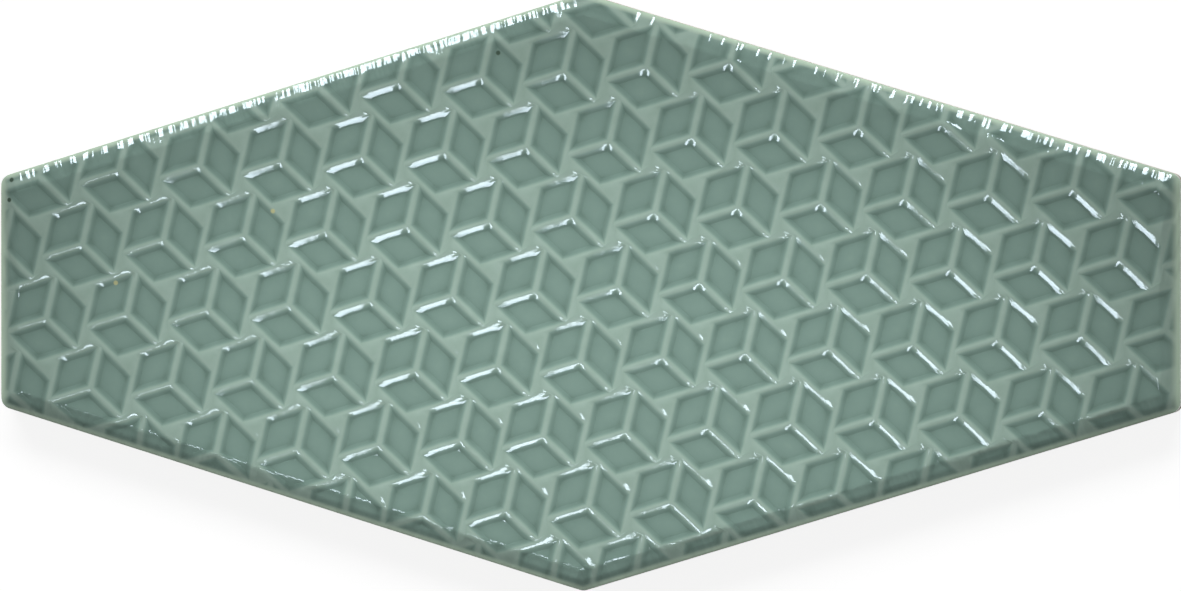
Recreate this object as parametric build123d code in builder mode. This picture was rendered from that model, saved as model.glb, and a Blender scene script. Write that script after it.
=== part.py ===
from build123d import *
from math import atan2, ceil, cos, degrees, radians, sin, tan
import os

# Long hexagon wall tile, pressed and fired as one piece. Lengths are in millimetres.
# The glazed face looks up (+Z) and carries a tumbling-block relief: cubes of three sunk
# rhombs each, turned a little against the grid that they stand on. The back lies on
# z = 0 and has shallow keys for the adhesive.

# Outline, seen from the face: two short sides, and four long ones that meet in blunt points
tile_length = 200.0  # across the short sides, along X
tile_width = 100.0  # across the blunt points, along Y
short_side = 38.8
corner_radius = 2.0
tile_thickness = 8.0  # from the back to the flat of the face

# Cushion edge: along the outline the face turns down into a flank that ends in an arris
flank_width = 2.8
flank_angle = 30.0  # down from the face
shoulder_radius = 1.2  # between the face and the flank

# Relief: cubes on a triangular grid, each with three rhombs round a Y of thin ridges
cube_pitch = 14.0
row_angle = 3.2  # of a row of cubes, from X
relief_centre = Vector(6.1, 0.9)  # middle of one cube
rhomb_side = 6.6  # at the face
ridge_crest = 1.08  # flat top of a ridge, between two rhombs of one cube
rhomb_depth = 0.4
rhomb_draft = 25.0  # of the rhomb's walls, from upright
rim_width = 0.6  # plain band left along the arris
smallest_rhomb = 0.8  # volume in cubic millimetres below which a cut-off rhomb is left out

# Back: long keys between ribs, inside a plain margin
key_depth = 0.6
key_width = 7.0
key_pitch = 10.0
key_margin = 6.0
back_chamfer = 0.6

# What follows from the sizes above
half_length = tile_length / 2
half_width = tile_width / 2
long_side_angle = degrees(atan2(half_width - short_side / 2, half_length))
long_side_reach = half_width * cos(radians(long_side_angle))
flank_drop = flank_width * tan(radians(flank_angle))
rhombs_in_cube = 3
rhomb_angle = 180.0 / rhombs_in_cube  # half of a rhomb's wide corner, and the turn between rows of the grid
ridge_turn = long_side_angle + rhomb_angle  # one ridge of each Y runs along a long side
rhomb_half_length = rhomb_side * cos(radians(rhomb_angle))
rhomb_half_width = rhomb_side * sin(radians(rhomb_angle))
rhomb_offset = ridge_crest / 2 / sin(radians(rhomb_angle))
cube_radius = rhomb_offset + rhomb_side


def outline(inset=0.0):
    """The tile's outline, drawn in by the inset."""
    with BuildSketch() as sketch:
        with BuildLine():
            Polyline(
                (half_length, -short_side / 2),
                (half_length, short_side / 2),
                (0, half_width),
                (-half_length, short_side / 2),
                (-half_length, -short_side / 2),
                (0, -half_width),
                close=True,
            )
        make_face()
        if inset:
            offset(amount=-inset, kind=Kind.INTERSECTION)
        fillet(sketch.vertices(), radius=corner_radius)
    return sketch.sketch


def cushion_plate(face_height):
    """A plate of the tile's outline with a flank along all six sides."""
    with BuildPart() as plate:
        add(outline())
        extrude(amount=face_height)
        for side_angle, reach in (
            (90.0, half_length),
            (long_side_angle, long_side_reach),
            (-long_side_angle, long_side_reach),
        ):
            along = Vector(1, 0, 0).rotate(Axis.Z, side_angle)
            across = Vector(0, 1, 0).rotate(Axis.Z, side_angle)
            # the flanks run on past the outline, so that its walls end them
            shoulder = reach - flank_width
            overhang = reach + flank_width
            with BuildSketch(Plane((0, 0, 0), x_dir=across, z_dir=along)) as section:
                with BuildLine():
                    Polyline(
                        (-overhang, 0),
                        (overhang, 0),
                        (overhang, face_height - 2 * flank_drop),
                        (shoulder, face_height),
                        (-shoulder, face_height),
                        (-overhang, face_height - 2 * flank_drop),
                        close=True,
                    )
                make_face()
                fillet(section.vertices().group_by(Axis.Y)[-1], radius=shoulder_radius)
            extrude(amount=tile_length, both=True, mode=Mode.INTERSECT)
    return plate.part


def cube_places():
    """Middles of the cubes that lie on the tile, at least in part."""
    step_along = Vector(cube_pitch, 0).rotate(Axis.Z, row_angle)
    step_across = Vector(cube_pitch, 0).rotate(Axis.Z, row_angle + rhomb_angle)
    reach = ceil((tile_length + tile_width) / cube_pitch)
    places = []
    for row in range(-reach, reach + 1):
        for column in range(-reach, reach + 1):
            place = relief_centre + step_along * column + step_across * row
            from_short_side = half_length - abs(place.X)
            towards_long_side = Vector(abs(place.X), abs(place.Y)).rotate(Axis.Z, long_side_angle).Y
            from_long_side = long_side_reach - towards_long_side
            if min(from_short_side, from_long_side) > -cube_radius:
                places.append(place)
    return places


# One rhomb, and a cube of three: they narrow downwards and reach the foot of the flank
face_plane = Plane.XY.offset(tile_thickness)
with BuildPart() as rhomb_cutter:
    with BuildSketch(face_plane):
        Polygon(
            (0, 0),
            (rhomb_half_length, -rhomb_half_width),
            (2 * rhomb_half_length, 0),
            (rhomb_half_length, rhomb_half_width),
            align=None,
        )
    extrude(amount=-(flank_drop + rhomb_depth))
    draft(rhomb_cutter.faces().filter_by(Axis.Z, reverse=True), face_plane, -rhomb_draft)
with BuildPart() as cube_cutter:
    with PolarLocations(rhomb_offset, rhombs_in_cube, start_angle=ridge_turn + rhomb_angle):
        add(rhomb_cutter.part)

# All cubes, ended at the rim, with floors that follow the face at the rhombs' depth
rim_line = outline(rim_width)
floor_plate = cushion_plate(tile_thickness - rhomb_depth)
with BuildPart() as relief_cutter:
    with Locations(*cube_places()):
        add(cube_cutter.part)
    extrude(rim_line, amount=tile_thickness, mode=Mode.INTERSECT)
    add(floor_plate, mode=Mode.SUBTRACT)
rhombs = relief_cutter.solids().filter_by(lambda rhomb: rhomb.volume > smallest_rhomb)

# The tile: plate with an eased back edge, keys in the back, relief in the face
blank = cushion_plate(tile_thickness)
key_line = outline(key_margin)
with BuildPart() as tile:
    add(blank)
    chamfer(tile.edges().group_by(Axis.Z)[0], length=back_chamfer)
    with BuildSketch():
        with GridLocations(0, key_pitch, 1, ceil(tile_width / key_pitch)):
            Rectangle(tile_length, key_width)
        add(key_line, mode=Mode.INTERSECT)
    extrude(amount=key_depth, mode=Mode.SUBTRACT)
    add(rhombs, mode=Mode.SUBTRACT)
tile.part.label = "hexagon_tile"

os.makedirs("parts", exist_ok=True)
export_step(tile.part, "parts/hexagon_tile.step")
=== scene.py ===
from math import atan2, cos, exp, log, pi, radians, sin

import bmesh
import bpy
from mathutils import Matrix, Vector, noise


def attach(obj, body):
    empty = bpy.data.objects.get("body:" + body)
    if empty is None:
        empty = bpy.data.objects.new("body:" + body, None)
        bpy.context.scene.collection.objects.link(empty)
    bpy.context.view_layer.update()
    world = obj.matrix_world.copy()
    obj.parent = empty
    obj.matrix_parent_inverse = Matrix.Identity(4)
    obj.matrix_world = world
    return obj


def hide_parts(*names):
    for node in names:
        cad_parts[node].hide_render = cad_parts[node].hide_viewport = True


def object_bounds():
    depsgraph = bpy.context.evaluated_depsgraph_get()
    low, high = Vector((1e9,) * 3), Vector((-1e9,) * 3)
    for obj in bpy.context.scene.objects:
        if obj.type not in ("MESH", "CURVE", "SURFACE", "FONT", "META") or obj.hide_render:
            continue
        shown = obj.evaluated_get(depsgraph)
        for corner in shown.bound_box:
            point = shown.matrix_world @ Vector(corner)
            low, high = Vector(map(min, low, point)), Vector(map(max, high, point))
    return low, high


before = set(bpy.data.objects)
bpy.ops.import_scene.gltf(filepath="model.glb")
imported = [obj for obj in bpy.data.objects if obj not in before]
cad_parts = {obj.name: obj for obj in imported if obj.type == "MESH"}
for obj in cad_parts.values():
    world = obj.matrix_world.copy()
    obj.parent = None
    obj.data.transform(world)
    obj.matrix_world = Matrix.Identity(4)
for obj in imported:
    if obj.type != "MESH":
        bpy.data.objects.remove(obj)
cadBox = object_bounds()
mm = 0.001  # shapes are drawn in millimetres and scaled once, at the end
print("frame loaded, box", [tuple(round(c, 4) for c in corner) for corner in cadBox])


# Outline: the tile's own sizes, as pressed
tile = {
    "length": cadBox[1].x * 2 / mm,
    "clearance": 0.01,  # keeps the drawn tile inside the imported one
    "pointWidth": 100.0,  # across the blunt points, before they are rounded
    "shortSide": 38.8,
    "cornerRadius": 2.0,
    "faceHeight": cadBox[1].z / mm,
    "rollWidth": 3.2,  # of the flank along the outline
    "rollSlope": 0.58,
    "rollRound": 0.45,  # half the width over which the face turns into the flank
    "arrisWidth": 0.35,
    "arrisDrop": 0.10,
    "paleAndSheenWidth": 1.2,  # over which the glaze thins towards the arris and is painted paler, partly thinner glaze and partly a painted reflection along the edge
    "paleAndSheenEnds": 1.8,  # and the same at the short sides
    "paleAndSheenSide": 0.3,  # how thin it stays on the sides, and how much of the paler colour with its painted reflection they keep
    "rimWidth": 1.5,  # plain part of the flank
    "rimFade": 1.6,  # over which the relief comes up from it
    "stainRim": 0.3,  # and the same for its colour
    "stainFade": 0.8,
    "ripple": 0.003,  # unevenness of the fired glaze
    "rippleLength": 2.6,
    "cornerCuts": 6,
    "flankBlend": 0.6,  # over which the glaze begins to run
    "rollCuts": (  # rows of the mesh, by their distance from the edge
        0.12, 0.35, 0.6, 1.0, 1.5, 2.0, 2.4, 2.75, 3.05, 3.35, 3.65,
    ),
}
halfLength = tile["length"] / 2 - tile["clearance"]
halfWidth = tile["pointWidth"] / 2
sideSlope = atan2(halfWidth - tile["shortSide"] / 2, halfLength)
sideReach = halfWidth * cos(sideSlope) - tile["clearance"]

# the six sides in turn, as outward normals with their reach from the middle
sides = []
for angle, reach in (
    (0, halfLength),
    (pi / 2 - sideSlope, sideReach),
    (pi / 2 + sideSlope, sideReach),
    (pi, halfLength),
    (3 * pi / 2 - sideSlope, sideReach),
    (3 * pi / 2 + sideSlope, sideReach),
):
    sides.append((angle, Vector((cos(angle), sin(angle), 0)), reach))


# Relief: one cube of three rhombs, and the grid it stands on
sixth, third = radians(60), radians(120)  # of a turn
relief = {
    "pitch": 14.0,
    "rowAngle": radians(3.23),
    "centre": Vector((6.11, 0.91, 0)),
    "turn": sideSlope + sixth,  # one ridge of every Y runs along a long side
    "ridge": 0.80,  # crest between the shoulders
    "rhombSide": 6.92,  # between the shoulders
    "depth": 0.36,
    "wall": 0.95,  # plan width of the wall
    "wallBow": 3.0,  # broad shoulder above, tight foot below
    "dome": 0.176,  # rise of a crest above its shoulders
    "domeReach": 1.1,
    "cornerSoft": 0.10,  # rounding of the rhombs' corners
    "crestSoft": 0.10,
    "stainStart": -0.30,  # where the glaze begins to deepen, from the shoulder
    "stainReach": 1.0,
    "poolReach": 0.65,
    "floorStain": 0.52,  # depth of the glaze on a floor, what pools at each wall, and on a crest
    "poolStain": 0.27,
    "crestStain": 0.2,
    "crestReach": 0.8,
    "wallRings": (0.19, 0.20, 0.20, 0.20, 0.16),  # insets down the wall, to its foot
    "floorRings": (0.16, 0.50, 0.60),
    "alongCuts": 4,
    "acrossCuts": 3,
    "longEdge": 1.5,  # from here on an edge gets the cuts along
    "rows": 12,  # steps of the grid to either side, more than the tile holds
    "columns": 14,
}
touching = 0.001  # closer points of the plan are one
weldReach = 0.01
cutReach = 0.004
parallel = 0.995  # least cosine between an edge and the ridge that it follows


def turned(angle, length=1.0):
    return Vector((cos(angle), sin(angle), 0)) * length


arms = [turned(relief["turn"] + k * third) for k in range(3)]
rowStep = turned(relief["rowAngle"], relief["pitch"])
crossStep = turned(relief["rowAngle"] + sixth, relief["pitch"])

# corners of the three rhombs: a inner, b and c at the ridges' ends, e outer
rhombs = []
for k in range(3):
    out = relief["turn"] + k * third + sixth
    a = turned(out, relief["ridge"] / 2 / sin(sixth))
    b = a + arms[k] * relief["rhombSide"]
    c = a + arms[(k + 1) % 3] * relief["rhombSide"]
    e = a + turned(out, relief["rhombSide"])
    rhombs.append((a, b, e, c))


def wallDistances(rhomb, point):
    # signed distances to the four shoulders, positive inside
    found = []
    for start, end in zip(rhomb, rhomb[1:] + rhomb[:1]):
        edge = (end - start).normalized()
        found.append(edge.x * (point.y - start.y) - edge.y * (point.x - start.x))
    return found


def smooth(x):
    x = max(0.0, min(1.0, x))
    return x * x * (3 - 2 * x)


cubesAround = [Vector((0, 0, 0))]
for k in range(6):
    cubesAround.append(turned(relief["rowAngle"] + k * sixth, relief["pitch"]))
rhombsAround = [tuple(p + at for p in rhomb) for at in cubesAround for rhomb in rhombs]


def softMin(values, reach):
    least = min(values)
    return least - reach * log(sum(exp((least - value) / reach) for value in values))


def crossSection(s):
    # height of the face at the distance s inside a shoulder
    if s < 0:
        return -relief["dome"] * exp(s / relief["domeReach"])
    slope = relief["dome"] / relief["domeReach"]
    left = relief["depth"] - relief["dome"] - slope * relief["wall"]
    fall = relief["dome"] + slope * s + left * (s / relief["wall"]) ** relief["wallBow"]
    return -min(fall, relief["depth"])


def glazedPoint(point):
    # height under the crests, and how deep the glaze lies there (0 thin, 1 deep)
    walls = [wallDistances(rhomb, point) for rhomb in rhombsAround]
    insets = [softMin(distances, relief["cornerSoft"]) for distances in walls]
    s = -softMin([-inset for inset in insets], relief["crestSoft"])
    height = crossSection(s)
    sunk = smooth((s - relief["stainStart"]) / relief["stainReach"])
    nearest = walls[insets.index(max(insets))]
    pooled = sum(exp(-max(0.0, d - relief["wall"]) / relief["poolReach"]) for d in nearest)
    inRhomb = relief["floorStain"] + relief["poolStain"] * pooled
    onCrest = relief["crestStain"] * (1 - exp(min(s, 0) / relief["crestReach"]))
    return height, sunk * inRhomb + (1 - sunk) * onCrest


def alongRidge(edge):
    way = (edge.verts[1].co - edge.verts[0].co).normalized()
    return any(abs(way.dot(arm)) > parallel for arm in arms)


def reliefCell():
    # the plan of one repeat: rhombs, the Y between them, bands to three neighbours, two plateaus
    (a0, b0, e0, c0), (a1, b1, e1, c1), (a2, b2, e2, c2) = rhombs
    u, v = rowStep, crossStep
    w = v - u
    plan = [
        (a2, c2, b0, a0), (a0, c0, b1, a1), (a1, c1, b2, a2), (a0, a1, a2),
        (b2, c0 + u, e0 + u, e2), (e2, e1 + v, b1 + v, c2), (b0, c1 + w, e1 + w, e0),
        (e2, e0 + u, e1 + v), (b0, c2, b1 + v, c0 + v, b2 + w, c1 + w),
    ]
    bm = bmesh.new()
    depthLayer = bm.verts.layers.float.new("glazeDepth")
    for outline in plan:
        bm.faces.new([bm.verts.new(p) for p in outline])
    sunk = [bm.faces.new([bm.verts.new(p) for p in rhomb]) for rhomb in rhombs]
    bmesh.ops.remove_doubles(bm, verts=bm.verts, dist=touching)
    for ring in relief["wallRings"]:
        bmesh.ops.inset_individual(bm, faces=sunk, thickness=ring, use_even_offset=True)
    for edge in bm.edges:
        inRhomb = any(min(wallDistances(r, v.co)) > touching for r in rhombs for v in edge.verts)
        if inRhomb and not alongRidge(edge):
            edge.smooth = False  # mitres of the walls stay crisp
    for face in sunk:
        for edge in face.edges:
            edge.smooth = False  # and so do their feet
    for ring in relief["floorRings"]:
        bmesh.ops.inset_individual(bm, faces=sunk, thickness=ring, use_even_offset=True)
    longEdges = [
        edge for edge in bm.edges
        if edge.calc_length() > relief["longEdge"] and alongRidge(edge)
    ]
    bmesh.ops.subdivide_edges(bm, edges=longEdges, cuts=relief["alongCuts"], use_grid_fill=True)
    rungs = []
    for edge in bm.edges:
        middle = (edge.verts[0].co + edge.verts[1].co) / 2
        onRidge = all(min(wallDistances(r, middle)) < touching for r in rhombsAround)
        if onRidge and not alongRidge(edge):
            rungs.append(edge)
    bmesh.ops.subdivide_edges(bm, edges=rungs, cuts=relief["acrossCuts"], use_grid_fill=True)
    bmesh.ops.poke(bm, faces=[face for face in bm.faces if len(face.verts) > 4])
    for vert in bm.verts:
        vert.co.z, vert[depthLayer] = glazedPoint(vert.co)
    return bm


def insideBy(point):
    return min(reach - normal.dot(point) for angle, normal, reach in sides)


def cubePlaces():
    places = []
    for row in range(-relief["rows"], relief["rows"] + 1):
        for column in range(-relief["columns"], relief["columns"] + 1):
            place = relief["centre"] + rowStep * column + crossStep * row
            if insideBy(place) > -relief["pitch"]:
                places.append(place)
    return places


def layCells(bm, mesh, places):
    at = Vector((0, 0, 0))
    for place in places:
        mesh.transform(Matrix.Translation(place - at))
        bm.from_mesh(mesh)
        at = place
    mesh.transform(Matrix.Translation(-at))
    bmesh.ops.remove_doubles(bm, verts=bm.verts, dist=weldReach)


def withParts(faces):
    return list({part for face in faces for part in (face, *face.edges, *face.verts)})


def beyond(bm, way, reach):
    return withParts([face for face in bm.faces if way.dot(face.calc_center_median()) > reach])


def cutAlong(bm, geom, normal, reach, trim=False):
    return bmesh.ops.bisect_plane(
        bm, geom=geom, dist=cutReach, plane_co=normal * reach, plane_no=normal, clear_outer=trim
    )["geom"]


def trimToOutline(bm):
    for angle, normal, reach in sides:
        geom = cutAlong(bm, beyond(bm, normal, reach - relief["pitch"]), normal, reach, True)
        for distance in tile["rollCuts"]:
            geom = cutAlong(bm, geom, normal, reach - distance)
    turns = zip(sides, sides[1:] + sides[:1])
    for (angle, normal, reach), (nextAngle, nextNormal, nextReach) in turns:
        # the rounding's middle lies one radius inside both sides
        spread = (nextAngle - angle) % (2 * pi)
        r = tile["cornerRadius"]
        system = Matrix(((normal.x, normal.y), (nextNormal.x, nextNormal.y)))
        middle = (system.inverted() @ Vector((reach - r, nextReach - r))).to_3d()
        halfway = turned(angle + spread / 2)
        geom = beyond(bm, halfway, middle.dot(halfway) - r)
        for step in range(1, tile["cornerCuts"]):
            way = turned(angle + spread * step / tile["cornerCuts"])
            geom = cutAlong(bm, geom, way, middle.dot(way) + r, True)


def rollDrop(distance):
    down, bend = tile["rollWidth"] - distance, tile["rollRound"]
    flank = max(0.0, down + bend) ** 2 / (4 * bend) if down < bend else down
    arris = max(0.0, 1 - distance / tile["arrisWidth"]) ** 2
    return tile["rollSlope"] * flank + tile["arrisDrop"] * arris


def rollFace(bm):
    # bends the face over along the outline, and lets the relief run out at the rim
    depthLayer = bm.verts.layers.float["glazeDepth"]
    flankLayer = bm.verts.layers.float.new("flank")
    paleAndSheenLayer = bm.verts.layers.float.new("paleAndSheen")
    for vert in bm.verts:
        distances = [max(0.0, reach - normal.dot(vert.co)) for angle, normal, reach in sides]
        nearest = min(distances)
        drop = sum(rollDrop(d) ** 3 for d in distances) ** (1 / 3)  # flanks meet softly
        fade = smooth((nearest - tile["rimWidth"]) / tile["rimFade"])
        ripple = tile["ripple"] * (noise.noise(vert.co / tile["rippleLength"]) - 1)
        vert.co.z = tile["faceHeight"] + vert.co.z * fade - drop + ripple
        vert[depthLayer] *= smooth((nearest - tile["stainRim"]) / tile["stainFade"])
        pastBlend = tile["rollWidth"] + tile["flankBlend"] / 2 - nearest
        vert[flankLayer] = smooth(pastBlend / tile["flankBlend"])
        # paler towards the arris and the short sides: thinner glaze, and partly a painted
        # reflection along the edge
        ends = min(distances[0], distances[3]) / tile["paleAndSheenEnds"]
        vert[paleAndSheenLayer] = 1 - smooth(min(ends, nearest / tile["paleAndSheenWidth"]))


cell = reliefCell()
cellMesh = bpy.data.meshes.new("reliefCell")
cell.to_mesh(cellMesh)
print("relief cell:", len(cell.verts), "vertices,", len(cell.faces), "faces")
cell.free()

bm = bmesh.new()
places = cubePlaces()
wellInside = relief["pitch"] * 1.5  # cells from here on meet no cut
layCells(bm, cellMesh, [place for place in places if insideBy(place) <= wellInside])
print("border of the face:", len(bm.faces), "faces")
trimToOutline(bm)
layCells(bm, cellMesh, [place for place in places if insideBy(place) > wellInside])
bpy.data.meshes.remove(cellMesh)
rollFace(bm)
print("face trimmed and rolled:", len(bm.faces), "faces")


# Body: sides, eased back edge and the keys in the back
body = {
    "sideRows": (5.6, 4.8, 3.6, 0.6),  # heights of the side's rows, down to the chamfer
    "chamfer": 0.6,
    "keyMargin": 6.0,
    "keyPitch": 10.0,
    "keyWidth": 7.0,
    "keyDepth": 0.6,
    "sharpAngle": radians(34),
}


def dropRim(bm, edges, height, inset=0.0):
    paleAndSheenLayer = bm.verts.layers.float["paleAndSheen"]
    made = bmesh.ops.extrude_edge_only(bm, edges=edges)["geom"]
    for vert in [g for g in made if isinstance(g, bmesh.types.BMVert)]:
        angle, normal, reach = min(sides, key=lambda side: side[2] - side[1].dot(vert.co))
        vert.co -= normal * inset
        vert.co.z = height
        # the sides keep some of the paler colour: thin glaze, partly a painted reflection
        vert[paleAndSheenLayer] = tile["paleAndSheenSide"]
    return [g for g in made if isinstance(g, bmesh.types.BMEdge) and g.is_boundary]


rim = [edge for edge in bm.edges if edge.is_boundary]
for rowHeight in body["sideRows"]:
    rim = dropRim(bm, rim, rowHeight)
rim = dropRim(bm, rim, 0.0, body["chamfer"])
back = withParts(bmesh.ops.contextual_create(bm, geom=rim)["faces"])
for angle, normal, reach in sides:
    back = cutAlong(bm, back, normal, reach - body["keyMargin"])
rows = int(tile["pointWidth"] / body["keyPitch"])
for row in range(rows):
    keyMiddle = (row - (rows - 1) / 2) * body["keyPitch"]
    for wall in (keyMiddle - body["keyWidth"] / 2, keyMiddle + body["keyWidth"] / 2):
        back = cutAlong(bm, back, Vector((0, 1, 0)), wall)
keys = []
for face in [part for part in back if isinstance(part, bmesh.types.BMFace)]:
    middle = face.calc_center_median()
    fromKey = (middle.y + tile["pointWidth"] / 2) % body["keyPitch"] - body["keyPitch"] / 2
    if insideBy(middle) > body["keyMargin"] and abs(fromKey) < body["keyWidth"] / 2:
        keys.append(face)
made = bmesh.ops.extrude_face_region(bm, geom=keys)["geom"]
keyFloors = [g for g in made if isinstance(g, bmesh.types.BMVert)]
bmesh.ops.translate(bm, verts=keyFloors, vec=(0, 0, body["keyDepth"]))
bmesh.ops.delete(bm, geom=keys, context="FACES")
bmesh.ops.recalc_face_normals(bm, faces=bm.faces)
bmesh.ops.scale(bm, vec=(mm, mm, mm), verts=bm.verts)
openEdges = sum(not edge.is_manifold for edge in bm.edges)
for face in bm.faces:
    face.smooth = True
for edge in bm.edges:
    if edge.calc_face_angle(0.0) > body["sharpAngle"]:
        edge.smooth = False
tileMesh = bpy.data.meshes.new("hexagonTile")
bm.to_mesh(tileMesh)
triangles = sum(len(face.verts) - 2 for face in bm.faces)
bm.free()
glazedTile = bpy.data.objects.new("glazedTile", tileMesh)
bpy.context.scene.collection.objects.link(glazedTile)
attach(glazedTile, "root")
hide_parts("hexagon_tile")
print("tile:", triangles, "triangles, open edges", openEdges)


# Glaze: thin and pale over the ridges, deep where it ran together, on a cream biscuit body
glaze = {
    "stops": (  # how deep the glaze lies, and its colour there
        (0.0, (162, 186, 175)),
        (0.2, (151, 176, 163)),
        (0.55, (130, 157, 147)),
        (0.8, (121, 148, 138)),
        (1.0, (110, 136, 126)),
    ),
    "paleAndSheen": (205, 229, 205),  # thinned out over the arris, and partly a painted reflection along the edge
    "mottle": 0.30,  # how far the depth wanders
    "mottleScale": 360.0,
    "mottleDetail": 3.0,
    "roughness": 0.06,
    "ior": 1.55,
    "peel": 0.000004,  # height of the fired surface's grain, in metres
    "peelScale": 700.0,
    "peelDetail": 1.0,
    "runs": 0.00030,  # height of the runs down the flanks
    "runScale": (600.0, 90.0),  # along the side, and down the flank
    "runDetail": 1.5,
    "runApart": 9.0,  # keeps the noise of the four long sides apart
    "line": 0.0046,  # height of the glaze's lower edge on the sides
    "lineWander": 0.0016,
    "lineScale": 110.0,
    "lineSoft": (-0.0001, 0.0002),
    "pinholes": ((-98.0, 18.9), (-98.3, 15.5), (-14.15, 40.05)),
    "flecks": ((-52.6, 13.6), (-79.7, 1.5)),
    "spotColours": {"pinholes": (74, 94, 80), "flecks": (196, 198, 150)},
    "spotRadius": 0.0005,
}
biscuit = {
    "stops": ((0.35, (205, 195, 177)), (0.65, (226, 219, 204))),
    "roughness": 0.85,
    "grain": 0.00006,
    "grainScale": 1400.0,
    "grainDetail": 4.0,
}


def linear(colour):
    # from screen values of 0 to 255
    out = []
    for value in colour:
        value = value / 255
        out.append(value / 12.92 if value <= 0.04045 else ((value + 0.055) / 1.055) ** 2.4)
    return (*out, 1.0)


class finishNodes:
    # short words for the few node kinds that the finish is wired from
    def __init__(self, finish):
        self.nodes = finish.node_tree.nodes
        self.links = finish.node_tree.links
        self.coordinates = self.nodes.new("ShaderNodeTexCoord").outputs["Object"]
        split = self.nodes.new("ShaderNodeSeparateXYZ")
        self.links.new(self.coordinates, split.inputs[0])
        self.x, self.y, self.z = (split.outputs[axis] for axis in "XYZ")
        self.plan = self.vector(self.x, self.y, 0.0)

    def feed(self, socket, value):
        if isinstance(value, bpy.types.NodeSocket):
            self.links.new(value, socket)
        else:
            socket.default_value = value

    def vector(self, x, y, z):
        made = self.nodes.new("ShaderNodeCombineXYZ")
        for axis, value in zip("XYZ", (x, y, z)):
            self.feed(made.inputs[axis], value)
        return made.outputs["Vector"]

    def attribute(self, name):
        made = self.nodes.new("ShaderNodeAttribute")
        made.attribute_name = name
        return made.outputs["Fac"]

    def noise(self, scale, detail=2.0, places=None):
        made = self.nodes.new("ShaderNodeTexNoise")
        made.inputs["Scale"].default_value = scale
        made.inputs["Detail"].default_value = detail
        self.links.new(places or self.coordinates, made.inputs["Vector"])
        return made.outputs["Fac"]

    def math(self, operation, a, b=0.0):
        made = self.nodes.new("ShaderNodeMath")
        made.operation = operation
        self.feed(made.inputs[0], a)
        self.feed(made.inputs[1], b)
        return made.outputs["Value"]

    def swing(self, noise, size):
        # a noise that goes evenly to both sides of nought
        return self.math("MULTIPLY", self.math("SUBTRACT", noise, 0.5), size)

    def sumOf(self, a, shareOfA, b, shareOfB):
        parts = [self.math("MULTIPLY", *pair) for pair in ((a, shareOfA), (b, shareOfB))]
        return self.math("ADD", *parts)

    def between(self, value, low, high, first=0.0, last=1.0):
        made = self.nodes.new("ShaderNodeMapRange")
        made.interpolation_type = "SMOOTHSTEP"
        names = ("Value", "From Min", "From Max", "To Min", "To Max")
        for name, item in zip(names, (value, low, high, first, last)):
            self.feed(made.inputs[name], item)
        return made.outputs["Result"]

    def ramp(self, value, stops):
        made = self.nodes.new("ShaderNodeValToRGB")
        elements = made.color_ramp.elements
        while len(elements) < len(stops):
            elements.new(0.5)
        for element, (place, colour) in zip(elements, stops):
            element.position = place
            element.color = linear(colour)
        self.links.new(value, made.inputs["Fac"])
        return made.outputs["Color"]

    def mix(self, share, a, b, kind="RGBA"):
        made = self.nodes.new("ShaderNodeMix")
        made.data_type = kind
        first, result = {"FLOAT": (2, 0), "RGBA": (6, 2)}[kind]  # sockets of that kind
        self.feed(made.inputs["Factor"], share)
        self.feed(made.inputs[first], a)
        self.feed(made.inputs[first + 1], b)
        return made.outputs[result]

    def spot(self, place, radius):
        # 1 inside a small round spot on the face, 0 outside
        made = self.nodes.new("ShaderNodeVectorMath")
        made.operation = "DISTANCE"
        self.links.new(self.plan, made.inputs[0])
        made.inputs[1].default_value = (place[0] * mm, place[1] * mm, 0.0)
        return self.between(made.outputs["Value"], radius / 2, radius, 1.0, 0.0)


tileFinish = bpy.data.materials.new("greenGlaze")
tileFinish.use_nodes = True
tree = finishNodes(tileFinish)
shader = tree.nodes["Principled BSDF"]

# the glaze's lower edge wanders along the sides
lineWander = tree.swing(tree.noise(glaze["lineScale"]), glaze["lineWander"])
aboveLine = tree.math("SUBTRACT", tree.math("SUBTRACT", tree.z, glaze["line"]), lineWander)
glazed = tree.between(aboveLine, *glaze["lineSoft"])

# colour by depth, paler at the arris (thinner glaze, partly a painted reflection), with a few
# spots, and the biscuit below
mottle = tree.swing(tree.noise(glaze["mottleScale"], glaze["mottleDetail"]), glaze["mottle"])
colour = tree.ramp(tree.math("ADD", tree.attribute("glazeDepth"), mottle), glaze["stops"])
colour = tree.mix(tree.attribute("paleAndSheen"), colour, linear(glaze["paleAndSheen"]))
for kind, spotColour in glaze["spotColours"].items():
    for place in glaze[kind]:
        colour = tree.mix(tree.spot(place, glaze["spotRadius"]), colour, linear(spotColour))
grain = tree.noise(biscuit["grainScale"], biscuit["grainDetail"])
bisque = tree.ramp(grain, biscuit["stops"])
tree.links.new(tree.mix(glazed, bisque, colour), shader.inputs["Base Color"])
gloss = tree.between(glazed, 0.0, 1.0, biscuit["roughness"], glaze["roughness"])
tree.links.new(gloss, shader.inputs["Roughness"])
shader.inputs["IOR"].default_value = glaze["ior"]

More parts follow.
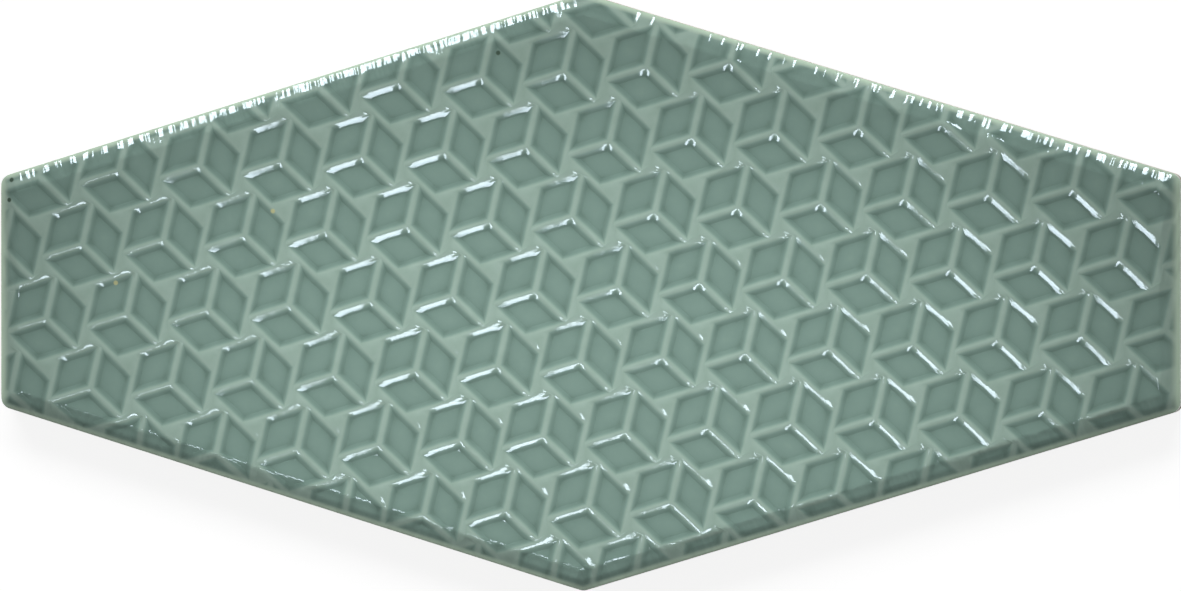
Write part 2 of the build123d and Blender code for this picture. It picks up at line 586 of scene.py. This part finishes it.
# runs of the glaze: a noise drawn out square to the long sides
across, up = (tree.math("ABSOLUTE", part) for part in (tree.x, tree.y))
alongSide = tree.sumOf(across, cos(sideSlope), up, -sin(sideSlope))
downFlank = tree.sumOf(across, sin(sideSlope), up, cos(sideSlope))
quarter = tree.sumOf(tree.math("SIGN", tree.x), 1.0, tree.math("SIGN", tree.y), 2.0)
drawn = tree.vector(
    tree.math("MULTIPLY", alongSide, glaze["runScale"][0]),
    tree.math("MULTIPLY", downFlank, glaze["runScale"][1]),
    tree.math("MULTIPLY", quarter, glaze["runApart"]),
)
runs = tree.swing(tree.noise(1.0, glaze["runDetail"], drawn), glaze["runs"])
runs = tree.math("MULTIPLY", runs, tree.attribute("flank"))
peel = tree.math("MULTIPLY", tree.noise(glaze["peelScale"], glaze["peelDetail"]), glaze["peel"])
peel = tree.math("ADD", peel, runs)
rough = tree.math("MULTIPLY", grain, biscuit["grain"])
bump = tree.nodes.new("ShaderNodeBump")
bump.inputs["Distance"].default_value = 1.0
tree.links.new(tree.mix(glazed, rough, peel, "FLOAT"), bump.inputs["Height"])
tree.links.new(bump.outputs["Normal"], shader.inputs["Normal"])
tileMesh.materials.append(tileFinish)
print("finish wired:", len(tree.nodes), "nodes")


# Floor: pale to the eye and in the gloss, but greyer as a source of light
ground = {
    "halfSize": 2.0,
    "paint": 0.45,
    "roughness": 0.9,
    "glow": 0.85,
}
floorMesh = bpy.data.meshes.new("floor")
plan = bmesh.new()
bmesh.ops.create_grid(plan, x_segments=1, y_segments=1, size=ground["halfSize"])
plan.to_mesh(floorMesh)
plan.free()
floor = bpy.data.objects.new("floor", floorMesh)
bpy.context.scene.collection.objects.link(floor)
floorFinish = bpy.data.materials.new("paleFloor")
floorFinish.use_nodes = True
nodes = floorFinish.node_tree.nodes
links = floorFinish.node_tree.links
paint = nodes["Principled BSDF"]
paint.inputs["Base Color"].default_value = (*[ground["paint"]] * 3, 1)
paint.inputs["Roughness"].default_value = ground["roughness"]
path = nodes.new("ShaderNodeLightPath")
seen = path.outputs["Is Camera Ray"]
for other in ("Is Glossy Ray", "Is Transmission Ray"):
    either = nodes.new("ShaderNodeMath")
    either.operation = "MAXIMUM"
    links.new(seen, either.inputs[0])
    links.new(path.outputs[other], either.inputs[1])
    seen = either.outputs["Value"]
share = nodes.new("ShaderNodeMath")
share.operation = "MULTIPLY"
links.new(seen, share.inputs[0])
share.inputs[1].default_value = ground["glow"]
glow = nodes.new("ShaderNodeEmission")
links.new(share.outputs["Value"], glow.inputs["Strength"])
both = nodes.new("ShaderNodeAddShader")
links.new(paint.outputs["BSDF"], both.inputs[0])
links.new(glow.outputs["Emission"], both.inputs[1])
links.new(both.outputs["Shader"], nodes["Material Output"].inputs["Surface"])
floorMesh.materials.append(floorFinish)
print("floor laid")


# Lights: places and sizes in millimetres, turns in degrees
# a level is a lamp's share of a white surface's brightness at the middle of the tile
fill = 0.12  # of the white world
skyBox = {"at": (-100, 1400, 1000), "size": (1600, 700), "level": 0.31}
pool = {
    "at": (0, 700, 1100),
    "aim": (-3, -18, 0),
    "reach": (140, 66),  # half axes of the lit oval
    "softness": 30,
    "level": 0.60,
}
# bright cards that only the gloss of the glaze shows
cardColour = (0.76, 0.88, 1.0)
cards = {
    "windowLeft": {"at": (-310, -683, 2500), "size": (128, 480), "turn": 17, "glow": 17},
    "windowRight": {"at": (-683, -528, 2500), "size": (110, 480), "turn": -43, "glow": 17},
    "backLeft": {"at": (-503, 940, 480), "size": (150, 230), "turn": 0, "glow": 20},
    "backRight": {"at": (340, 790, 470), "size": (170, 240), "turn": 0, "glow": 20},
}


def facing(at, look, right):
    # a pose at a place in millimetres that looks along a way, with its X axis held near right
    backward = -look.normalized()
    rightward = (right - backward * right.dot(backward)).normalized()
    turn = Matrix((rightward, backward.cross(rightward), backward)).transposed()
    return Matrix.Translation(at * mm) @ turn.to_4x4()


def placeLamp(name, kind, pose):
    lamp = bpy.data.objects.new(name, bpy.data.lights.new(name, kind))
    lamp.matrix_world = pose
    bpy.context.scene.collection.objects.link(lamp)
    return lamp


def panel(name, spec, look, right):
    lamp = placeLamp(name, "AREA", facing(Vector(spec["at"]), look, right))
    lamp.data.shape = "RECTANGLE"
    lamp.data.size, lamp.data.size_y = (side * mm for side in spec["size"])
    return lamp


world = bpy.data.worlds.new("studio")
bpy.context.scene.world = world
world.use_nodes = True
background = world.node_tree.nodes["Background"]
background.inputs["Color"].default_value = (1, 1, 1, 1)
background.inputs["Strength"].default_value = fill

skyAt = Vector(skyBox["at"])
skyLamp = panel("skyBox", skyBox, -skyAt, Vector((1, 0, 0)))
skyLamp.data.energy = skyBox["level"] * pi ** 2 * (skyAt.length * mm) ** 3 / (skyAt.z * mm)
skyLamp.visible_glossy = False

for name, card in cards.items():
    cardLook = Vector((0, 0, -1)) if card["turn"] else -Vector(card["at"])
    cardLamp = panel(name, card, cardLook, turned(radians(card["turn"])))
    cardLamp.data.energy = card["glow"] * pi * cardLamp.data.size * cardLamp.data.size_y
    cardLamp.data.color = cardColour
    cardLamp.visible_diffuse = False

poolLook = Vector(pool["aim"]) - Vector(pool["at"])
poolPose = facing(Vector(pool["at"]), poolLook, Vector((1, 0, 0)))
squeeze = Matrix.Diagonal((1, pool["reach"][1] / pool["reach"][0], 1, 1))
poolLamp = placeLamp("pool", "SPOT", poolPose @ squeeze)
poolLamp.data.spot_size = 2 * atan2(pool["reach"][0], poolLook.length)
poolLamp.data.spot_blend = 1.0
poolLamp.data.shadow_soft_size = pool["softness"] * mm
poolFar, poolFall = poolLook.length * mm, -poolLook.z * mm
poolLamp.data.energy = pool["level"] * 4 * pi ** 2 * poolFar ** 3 / poolFall
poolLamp.data.use_shadow = False
poolLamp.visible_glossy = False
lit = bpy.data.collections.new("litByPool")
lit.objects.link(glazedTile)
poolLamp.light_linking.receiver_collection = lit
print("lights set:", 2 + len(cards))


# Camera, as fitted to the photo's outline and relief
view = {
    "at": Vector((208.6, 11.1, 1246.1)),
    "look": Vector((-0.16504, -0.00925, -0.98625)),
    "right": Vector((0.98629, 0, -0.16505)),
    "focalPixels": 7520.0,
    "photoWidth": 1181,
    "sensor": 36.0,
    "shift": 0.0008,
    "clipEnd": 20,
}
cameraData = bpy.data.cameras.new("photoCamera")
cameraData.sensor_width = view["sensor"]
cameraData.lens = view["focalPixels"] / view["photoWidth"] * view["sensor"]
cameraData.shift_x = view["shift"]
cameraData.clip_end = view["clipEnd"]
camera = bpy.data.objects.new("photoCamera", cameraData)
camera.matrix_world = facing(view["at"], view["look"], view["right"])
bpy.context.scene.collection.objects.link(camera)
bpy.context.scene.camera = camera
bpy.context.scene.view_settings.view_transform = "Standard"
print("camera set")
